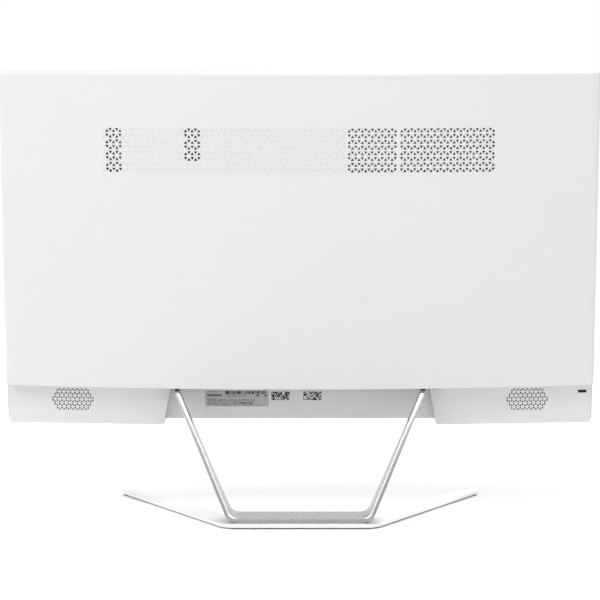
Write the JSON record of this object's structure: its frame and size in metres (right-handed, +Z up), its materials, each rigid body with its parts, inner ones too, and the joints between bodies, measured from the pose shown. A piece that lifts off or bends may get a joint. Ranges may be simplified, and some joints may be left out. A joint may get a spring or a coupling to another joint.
{
  "type": "all-in-one desktop computer",
  "caption": "All-in-one computer: slim crowned white display housing with vents and a recessed port bay, tilting on a bent silver strap stand with splayed feet.",
  "frame": {"origin": "centre of the stand's footprint, on the table", "axes": "+X to the right of a person facing the screen's front as the object's width, +Y rearward away from the screen, +Z up"},
  "size_m": [0.5424, 0.205, 0.4072],
  "materials": {
    "cover_white": "fine matte texture",
    "bezel_plastic": "satin black border",
    "screen_glass": "anti-glare screen",
    "lens_glass": "small camera window",
    "guide_acrylic": "acrylic light guide",
    "stand_metal": "satin silver",
    "hinge_steel": "zinc plated",
    "screw_steel": "nickel plated",
    "tray_steel": "galvanised sheet",
    "foot_rubber": "matte grey rubber",
    "port_black": "black nylon",
    "port_metal": "tinned shell",
    "label_grey": "printed film, no lettering",
    "board_green": "solder mask",
    "chip_black": "moulded package",
    "copper": "bare copper",
    "fin_aluminium": "plain aluminium",
    "fan_black": "glass-filled nylon",
    "antenna_film": "flexible film",
    "cable_film": "flat cable"
  },
  "bodies": {
    "stand": {"base_plate": "stand_metal", "base_pads": "foot_rubber", "upright_strap": "stand_metal", "base_screws": "screw_steel", "hinge_pins": "hinge_steel", "hinge_nuts": "screw_steel", "friction_washers": "hinge_steel"},
    "display": {"antennas": "antenna_film", "back_cover": "cover_white", "board_screws": "screw_steel", "board_standoffs": "hinge_steel", "chassis_plate": "tray_steel", "coin_cell": "port_metal", "cover_bosses": "chip_black", "cpu": "chip_black", "drive_tray": "tray_steel", "fan_case": "fan_black", "fan_cover": "tray_steel", "fin_stack": "fin_aluminium", "front_bezel": "bezel_plastic", "hard_drive": "fin_aluminium", "headset_jack": "port_black", "heat_pipe": "copper", "heat_spreader": "copper", "hinge_bracket_left": "hinge_steel", "hinge_bracket_right": "hinge_steel", "hinge_bracket_screws": "screw_steel", "io_panel": "port_black", "lan_port": "port_metal", "lcd_cell": "screen_glass", "led_strip": "board_green", "light_guide": "guide_acrylic", "lock_plate": "port_black", "lower_cover": "cover_white", "mainboard": "board_green", "memory_modules": "board_green", "memory_sockets": "port_black", "panel_cable": "cable_film", "panel_driver": "board_green", "panel_tray": "tray_steel", "power_board": "board_green", "power_inlet": "port_black", "rating_label": "label_grey", "speaker_cable": "cable_film", "speaker_left": "fan_black", "speaker_right": "fan_black", "ssd_stick": "board_green", "usb_ports": "port_metal", "video_port": "port_metal", "webcam_board": "board_green", "webcam_lens": "lens_glass", "wireless_card": "board_green"},
    "fan": {"fan_rotor": "fan_black"},
    "button": {"power_button": "cover_white"}
  },
  "joints": [
    {"name": "display_tilt", "type": "hinge", "parent": "stand", "child": "display", "pos_m": [0, 0.01079, 0.12394], "axis": [-1, 0, 0], "range_deg": [-11, 9]},
    {"name": "fan_spin", "type": "hinge", "parent": "display", "child": "fan", "pos_m": [-0.14, 0.02577, 0.27118], "axis": [0, 0.9945, -0.1045], "continuous": true},
    {"name": "button_press", "type": "slide", "parent": "display", "child": "button", "axis": [0, 0.1045, 0.9945], "range_m": [0, 0.0008], "stiffness_N_per_m": 900}
  ]
}
